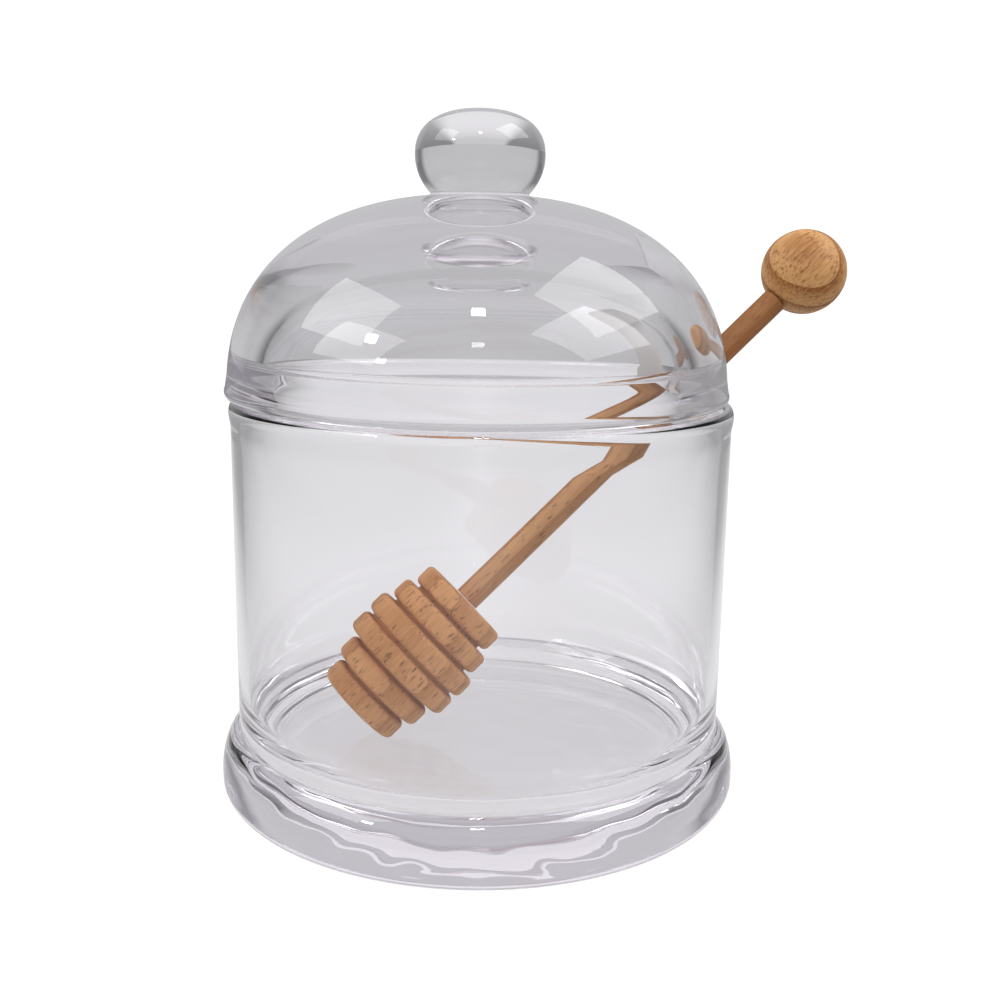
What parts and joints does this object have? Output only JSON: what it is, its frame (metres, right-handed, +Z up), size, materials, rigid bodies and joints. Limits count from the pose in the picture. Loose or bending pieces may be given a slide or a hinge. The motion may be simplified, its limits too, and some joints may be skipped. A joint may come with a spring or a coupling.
{
  "type": "glass honey jar with lid and wooden dipper",
  "caption": "Clear glass honey jar on a flared foot, with a notched dome lid and a turned wooden dipper leaning out through the notch.",
  "frame": {"origin": "middle of the jar's flat underside, on the surface it stands on", "axes": "+Z up along the jar's axis; the dipper leans out towards +X and a little towards +Y"},
  "size_m": [0.1455, 0.118, 0.1496],
  "materials": {
    "clear_glass": "polished clear glass, smooth, faintly wavy",
    "head_wood": "turned beech, satin, fine flecks",
    "rod_wood": "beech dowel, satin, grain along the rod",
    "ball_wood": "turned beech ball, satin, ring figure"
  },
  "bodies": {
    "root": {"jar": "clear_glass", "lid": "clear_glass", "dipper_head": "head_wood", "dipper_rod": "rod_wood", "dipper_ball": "ball_wood"}
  },
  "joints": []
}
